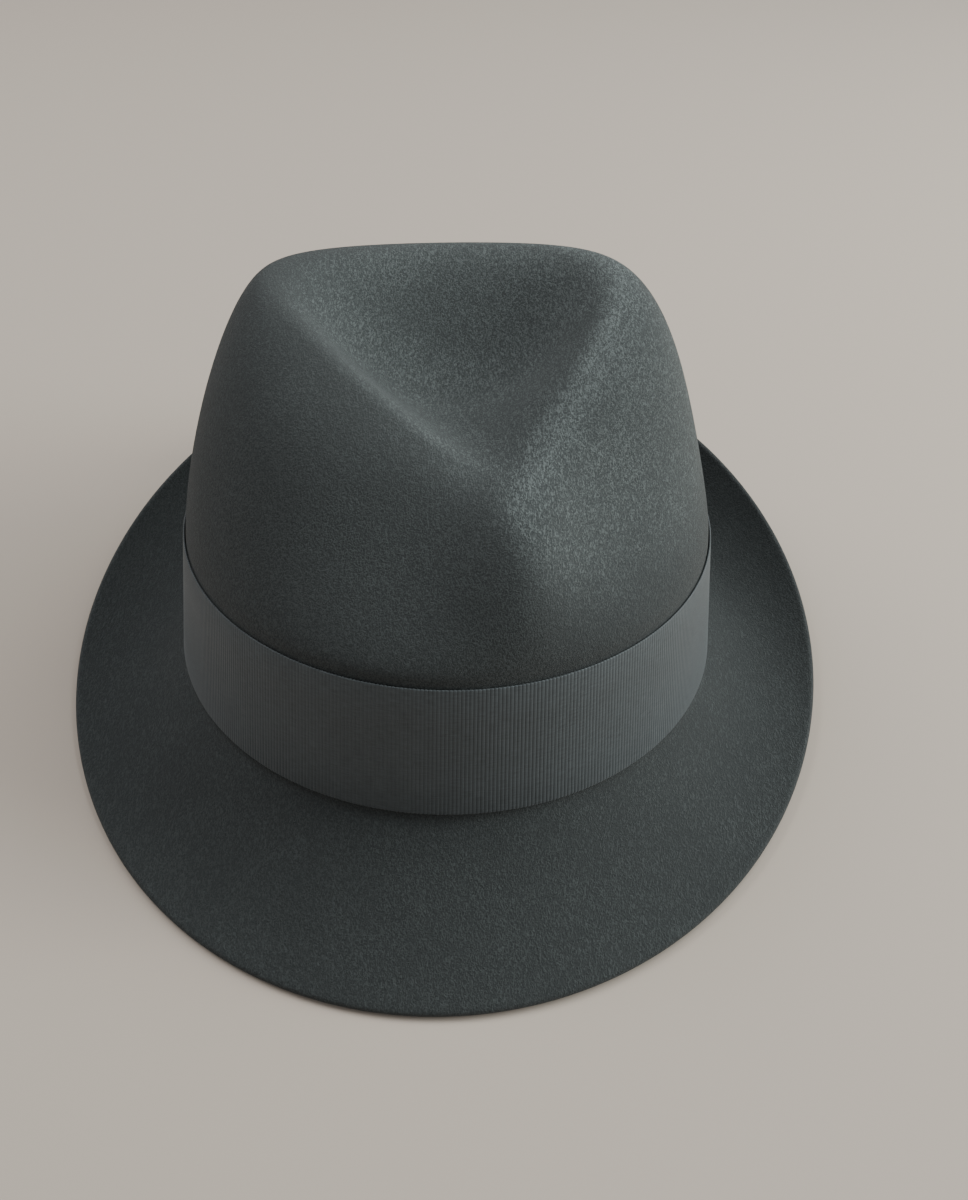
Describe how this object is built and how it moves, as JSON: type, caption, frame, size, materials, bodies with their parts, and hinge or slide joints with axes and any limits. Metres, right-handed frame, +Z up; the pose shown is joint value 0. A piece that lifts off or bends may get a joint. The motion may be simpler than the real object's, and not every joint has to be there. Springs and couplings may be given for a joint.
{
  "type": "felt trilby hat",
  "caption": "Black felt trilby with a creased teardrop crown, a short brim dipped in front and turned up behind, a wide ribbed ribbon with a flat bow, a leather sweatband and a satin lining.",
  "frame": {"origin": "middle of the hat's box on the ground that it stands on", "axes": "+Z up from the ground, +Y from the front of the brim to the back, +X to the wearer's left; the hat stands on its brim and is tipped back about seven degrees from level"},
  "size_m": [0.254, 0.2746, 0.1204],
  "materials": {
    "felt": "black wool felt with a short brushed nap",
    "grosgrain": "black grosgrain ribbon with fine cross ribs and a soft sheen",
    "leather": "thin dark brown leather with a fine grain",
    "reed": "black taped reed",
    "seam_ribbon": "narrow black ribbon",
    "satin": "black lining satin"
  },
  "bodies": {
    "root": {"felt_body": "felt", "ribbon_band": "grosgrain", "ribbon_bow": "grosgrain", "bow_keeper": "grosgrain", "sweatband": "leather", "sweatband_reed": "reed", "sweatband_bow": "seam_ribbon", "lining_side": "satin", "lining_tip": "satin"}
  },
  "joints": []
}
